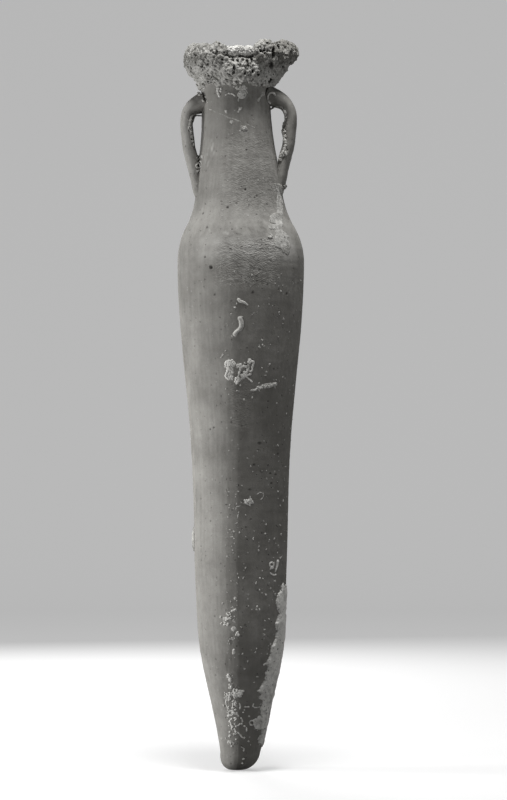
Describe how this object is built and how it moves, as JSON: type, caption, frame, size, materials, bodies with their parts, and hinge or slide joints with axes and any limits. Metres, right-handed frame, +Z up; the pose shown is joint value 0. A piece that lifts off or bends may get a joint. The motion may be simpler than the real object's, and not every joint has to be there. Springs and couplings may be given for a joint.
{
  "type": "transport amphora",
  "caption": "Tall slim clay transport jar with a pointed toe and a handle on each side of its neck, its mouth and wall crusted with hard sea growth.",
  "frame": {"origin": "centre of the flat tip of the toe", "axes": "+Z up the body's axis to the mouth, +X towards the handle set higher on the neck, -Y the face with the belly growth"},
  "size_m": [0.1494, 0.153, 0.8595],
  "materials": {
    "fired_clay": "bare fired clay, worn matt by the sea",
    "sea_growth": "rough hard chalky growth"
  },
  "bodies": {
    "root": {"toe": "fired_clay", "heel_wall": "fired_clay", "lower_wall": "fired_clay", "upper_wall": "fired_clay", "shoulder": "fired_clay", "neck": "fired_clay", "rim": "fired_clay", "handle_right": "fired_clay", "handle_left": "fired_clay", "mouth_crust": "sea_growth", "shoulder_crust": "sea_growth", "handle_foot_crust": "sea_growth", "neck_barnacle": "sea_growth", "neck_thread": "sea_growth", "belly_crust": "sea_growth", "belly_streak": "sea_growth", "waist_spot": "sea_growth", "flank_lump": "sea_growth", "ring_growth": "sea_growth", "heel_crust": "sea_growth", "toe_crust": "sea_growth", "worm_tube_long": "sea_growth", "worm_tube_short": "sea_growth", "flank_crust": "sea_growth"}
  },
  "joints": []
}
